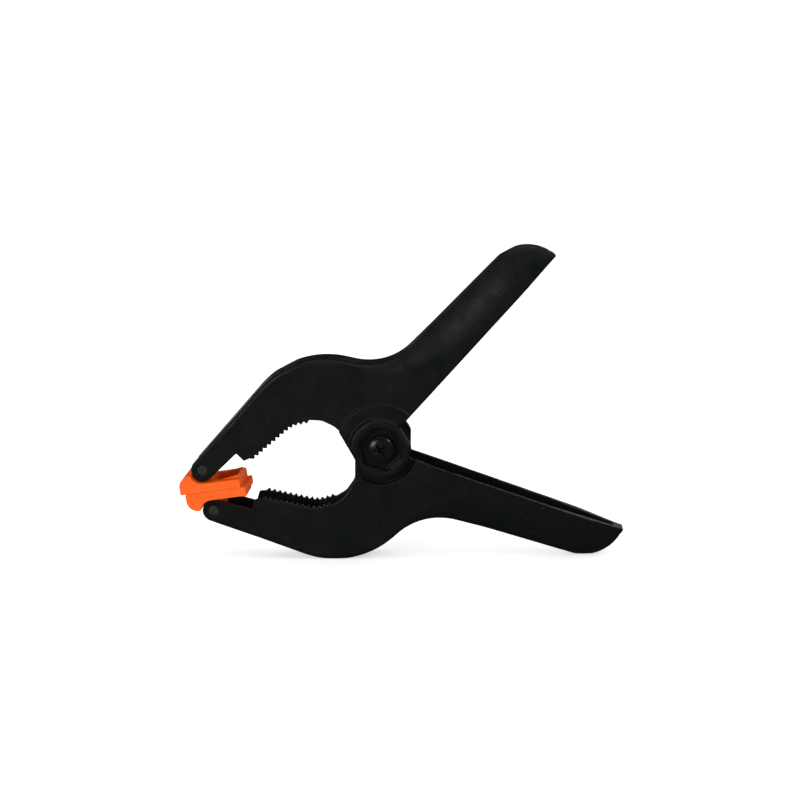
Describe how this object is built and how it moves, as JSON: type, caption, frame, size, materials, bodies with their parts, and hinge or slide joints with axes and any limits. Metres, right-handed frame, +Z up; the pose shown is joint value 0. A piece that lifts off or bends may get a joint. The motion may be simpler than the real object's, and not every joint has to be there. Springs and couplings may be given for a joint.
{
  "type": "spring clamp",
  "caption": "Spring clamp with black plastic channel arms on a pivot screw, a torsion spring between the handles, toothed throat edges and orange swivel pads on the jaws.",
  "frame": {"origin": "centre of the bounding box at its bottom, on the plane that the closed clamp stands on", "axes": "+X from the jaws to the handles, +Y along the screw from its head to its nut, +Z up through the upper arm"},
  "size_m": [0.1618, 0.0262, 0.1141],
  "materials": {
    "black_plastic": "black glass-filled nylon, fine grain",
    "orange_plastic": "orange moulded plastic, satin",
    "dark_pin": "dark oxide steel pin",
    "spring_steel": "drawn spring wire",
    "black_steel": "black oxide steel",
    "zinc_steel": "zinc-plated steel",
    "nylon": "natural nylon ring"
  },
  "bodies": {
    "lower_side": {"lower_arm": "black_plastic", "lower_pad_pin": "dark_pin", "pivot_screw": "black_steel", "pivot_washer": "zinc_steel", "lock_nut": "zinc_steel", "nut_insert": "nylon", "torsion_spring": "spring_steel"},
    "upper_side": {"upper_arm": "black_plastic", "upper_pad_pin": "dark_pin"},
    "upper_pad": {"upper_pad": "orange_plastic"},
    "lower_pad": {"lower_pad": "orange_plastic"}
  },
  "joints": [
    {"name": "jaw_hinge", "type": "hinge", "parent": "lower_side", "child": "upper_side", "pos_m": [-0.00703, -0.00207, 0.04158], "axis": [0, 1, 0], "range_deg": [0, 44], "stiffness_Nm_per_rad": 1.2, "springref_deg": -68.75, "deforming": ["torsion_spring"]},
    {"name": "upper_pad_swivel", "type": "hinge", "parent": "upper_side", "child": "upper_pad", "pos_m": [-0.07262, -0.00207, 0.03375], "axis": [0, 1, 0], "range_deg": [-28.3, 0]},
    {"name": "lower_pad_swivel", "type": "hinge", "parent": "lower_side", "child": "lower_pad", "pos_m": [-0.06896, -0.00207, 0.01859], "axis": [0, 1, 0], "range_deg": [0, 15.9]}
  ],
  "couplings": [
    {"joint": "upper_pad_swivel", "follows": "jaw_hinge", "ratio": -0.6409},
    {"joint": "lower_pad_swivel", "follows": "jaw_hinge", "ratio": 0.3591}
  ]
}
